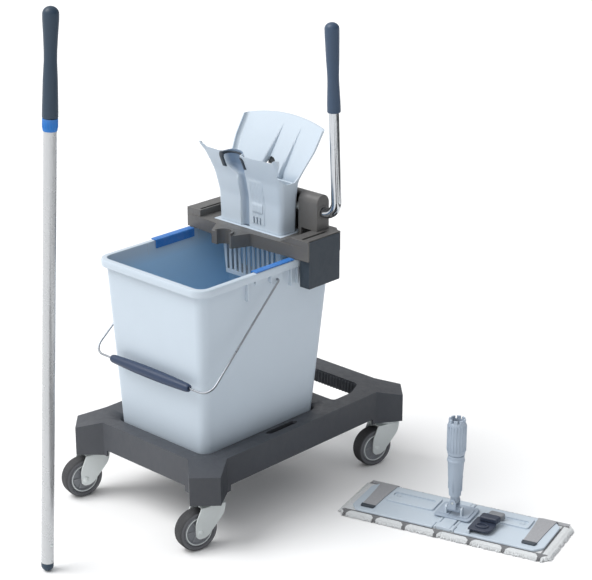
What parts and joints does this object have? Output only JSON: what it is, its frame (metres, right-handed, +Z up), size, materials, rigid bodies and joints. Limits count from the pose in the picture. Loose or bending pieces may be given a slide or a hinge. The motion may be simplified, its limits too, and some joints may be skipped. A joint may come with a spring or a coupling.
{
  "type": "mop and bucket with wringer",
  "caption": "Bucket on a swivel-caster chassis with a lever press wringer, telescopic pole and folding flat mop head.",
  "frame": {"origin": "on the floor under the middle of the whole set", "axes": "+Z up; +Y toward the wringer end of the trolley; +X toward the lever side"},
  "size_m": [0.8476, 0.8172, 1.0176],
  "materials": {
    "graphite_plastic": "moulded, fine grain",
    "taupe_plastic": "moulded, fine grain",
    "slate_plastic": "moulded, smooth satin",
    "pale_plastic": "moulded, satin",
    "blue_plastic": "moulded, satin",
    "hub_plastic": "moulded, satin",
    "tyre_rubber": "smooth grey rubber",
    "joint_plastic": "moulded, satin",
    "navy_plastic": "moulded, satin",
    "zinc_steel": "bright zinc plate",
    "chrome_tube": "polished",
    "aluminium_tube": "drawn, satin",
    "slate_grip": "soft-touch",
    "dark_grip": "soft-touch",
    "mop_fabric": "microfibre pile with bound edges",
    "strap_fabric": "woven band"
  },
  "bodies": {
    "chassis": {"chassis": "graphite_plastic", "caster_cup_front_left": "zinc_steel", "caster_cup_front_right": "zinc_steel", "caster_cup_rear_left": "zinc_steel", "caster_cup_rear_right": "zinc_steel"},
    "caster_front_left": {"caster_fork_front_left": "zinc_steel"},
    "wheel_front_left": {"wheel_hub_front_left": "hub_plastic", "wheel_tyre_front_left": "tyre_rubber"},
    "caster_front_right": {"caster_fork_front_right": "zinc_steel"},
    "wheel_front_right": {"wheel_hub_front_right": "hub_plastic", "wheel_tyre_front_right": "tyre_rubber"},
    "caster_rear_left": {"caster_fork_rear_left": "zinc_steel"},
    "wheel_rear_left": {"wheel_hub_rear_left": "hub_plastic", "wheel_tyre_rear_left": "tyre_rubber"},
    "caster_rear_right": {"caster_fork_rear_right": "zinc_steel"},
    "wheel_rear_right": {"wheel_hub_rear_right": "hub_plastic", "wheel_tyre_rear_right": "tyre_rubber"},
    "bucket": {"bucket": "pale_plastic", "rim_clip_left": "blue_plastic", "rim_clip_right": "blue_plastic"},
    "bail": {"bail_wire": "zinc_steel", "bail_grip": "slate_grip"},
    "wringer": {"wringer_carrier": "taupe_plastic", "hook_left": "slate_plastic", "hook_right": "slate_plastic", "wringer_hopper": "pale_plastic", "hopper_saddle": "slate_plastic", "strainer_basket": "pale_plastic", "shaft_housing": "taupe_plastic", "return_spring": "zinc_steel"},
    "lever": {"drive_shaft": "zinc_steel", "press_cam_left": "navy_plastic", "press_cam_right": "navy_plastic", "lever_tube": "chrome_tube", "lever_grip": "slate_grip"},
    "press_plate": {"press_plate": "pale_plastic"},
    "pole": {"pole_outer_tube": "aluminium_tube", "pole_end_plug": "dark_grip", "pole_snap_button": "zinc_steel"},
    "pole_collar": {"pole_lock_collar": "blue_plastic"},
    "pole_inner": {"pole_inner_tube": "aluminium_tube", "pole_grip": "dark_grip"},
    "mop_head": {"mop_centre_plate": "pale_plastic", "pad_centre": "mop_fabric", "fold_pin_right": "zinc_steel", "fold_pin_left": "zinc_steel", "tilt_pin": "zinc_steel"},
    "wing_right": {"mop_wing_right": "pale_plastic", "pad_right": "mop_fabric", "pad_strap_right": "strap_fabric", "pedal_pin": "zinc_steel"},
    "wing_left": {"mop_wing_left": "pale_plastic", "pad_left": "mop_fabric", "pad_strap_left": "strap_fabric"},
    "pedal": {"release_pedal": "navy_plastic"},
    "yoke": {"joint_yoke": "joint_plastic", "swing_pin": "zinc_steel"},
    "socket": {"pole_socket": "joint_plastic"},
    "sleeve": {"socket_sleeve": "joint_plastic"}
  },
  "joints": [
    {"name": "swivel_front_left", "type": "hinge", "parent": "chassis", "child": "caster_front_left", "pos_m": [-0.3858, -0.1284, 0.09], "axis": [0, 0, 1], "continuous": true},
    {"name": "wheel_spin_front_left", "type": "hinge", "parent": "caster_front_left", "child": "wheel_front_left", "pos_m": [-0.3933, -0.15848, 0.039], "axis": [0.9703, -0.2419, 0], "continuous": true},
    {"name": "swivel_front_right", "type": "hinge", "parent": "chassis", "child": "caster_front_right", "pos_m": [-0.0678, -0.1284, 0.09], "axis": [0, 0, 1], "continuous": true},
    {"name": "wheel_spin_front_right", "type": "hinge", "parent": "caster_front_right", "child": "wheel_front_right", "pos_m": [-0.0753, -0.15848, 0.039], "axis": [0.9703, -0.2419, 0], "continuous": true},
    {"name": "swivel_rear_left", "type": "hinge", "parent": "chassis", "child": "caster_rear_left", "pos_m": [-0.3858, 0.3596, 0.09], "axis": [0, 0, 1], "continuous": true},
    {"name": "wheel_spin_rear_left", "type": "hinge", "parent": "caster_rear_left", "child": "wheel_rear_left", "pos_m": [-0.3933, 0.32952, 0.039], "axis": [0.9703, -0.2419, 0], "continuous": true},
    {"name": "swivel_rear_right", "type": "hinge", "parent": "chassis", "child": "caster_rear_right", "pos_m": [-0.0678, 0.3596, 0.09], "axis": [0, 0, 1], "continuous": true},
    {"name": "wheel_spin_rear_right", "type": "hinge", "parent": "caster_rear_right", "child": "wheel_rear_right", "pos_m": [-0.0753, 0.32952, 0.039], "axis": [0.9703, -0.2419, 0], "continuous": true},
    {"name": "bucket_lift", "type": "slide", "parent": "chassis", "child": "bucket", "axis": [0, 0, 1], "range_m": [0, 0.2]},
    {"name": "bail_swing", "type": "hinge", "parent": "bucket", "child": "bail", "pos_m": [-0.2268, 0.0696, 0.46], "axis": [-1, 0, 0], "range_deg": [0, 130]},
    {"name": "wringer_lift", "type": "slide", "parent": "bucket", "child": "wringer", "axis": [0, 0, 1], "range_m": [0, 0.15]},
    {"name": "lever_pull", "type": "hinge", "parent": "wringer", "child": "lever", "pos_m": [-0.2268, 0.1936, 0.559], "axis": [1, 0, 0], "range_deg": [0, 85], "stiffness_Nm_per_rad": 0.8, "springref_deg": -28.65},
    {"name": "press_slide", "type": "slide", "parent": "wringer", "child": "press_plate", "axis": [0, -1, 0], "range_m": [0, 0.0235]},
    {"name": "pole_lift", "type": "slide", "parent": "chassis", "child": "pole", "axis": [0, 0, 1], "range_m": [0, 0.2]},
    {"name": "collar_twist", "type": "hinge", "parent": "pole", "child": "pole_collar", "pos_m": [-0.2088, -0.3974, 0.01125], "axis": [0.0381, 0.0359, 0.9986], "range_deg": [0, 90]},
    {"name": "pole_extend", "type": "slide", "parent": "pole", "child": "pole_inner", "axis": [0.0381, 0.0359, 0.9986], "range_m": [0, 0.68]},
    {"name": "mop_lift", "type": "slide", "parent": "chassis", "child": "mop_head", "axis": [0, 0, 1], "range_m": [0, 0.25]},
    {"name": "fold_right", "type": "hinge", "parent": "mop_head", "child": "wing_right", "pos_m": [0.22153, 0.25131, 0.012], "axis": [-0.2773, 0.9608, 0], "range_deg": [0, 85]},
    {"name": "fold_left", "type": "hinge", "parent": "mop_head", "child": "wing_left", "pos_m": [0.18887, 0.24189, 0.012], "axis": [0.2773, -0.9608, 0], "range_deg": [0, 85]},
    {"name": "pedal_press", "type": "hinge", "parent": "wing_right", "child": "pedal", "pos_m": [0.25805, 0.23479, 0.018], "axis": [-0.2773, 0.9608, 0], "range_deg": [0, 8], "stiffness_Nm_per_rad": 0.5, "springref_deg": -5.73},
    {"name": "socket_tilt", "type": "hinge", "parent": "mop_head", "child": "yoke", "pos_m": [0.20659, 0.2418, 0.03], "axis": [0.9608, 0.2773, 0], "range_deg": [-70, 70]},
    {"name": "socket_swing", "type": "hinge", "parent": "yoke", "child": "socket", "pos_m": [0.20659, 0.2418, 0.046], "axis": [-0.2773, 0.9608, 0], "range_deg": [-70, 70]},
    {"name": "sleeve_twist", "type": "hinge", "parent": "socket", "child": "sleeve", "pos_m": [0.20659, 0.2418, 0.18], "axis": [0, 0, 1], "range_deg": [0, 90]}
  ],
  "couplings": [
    {"joint": "press_slide", "follows": "lever_pull", "m_per_rad": 0.0155}
  ]
}
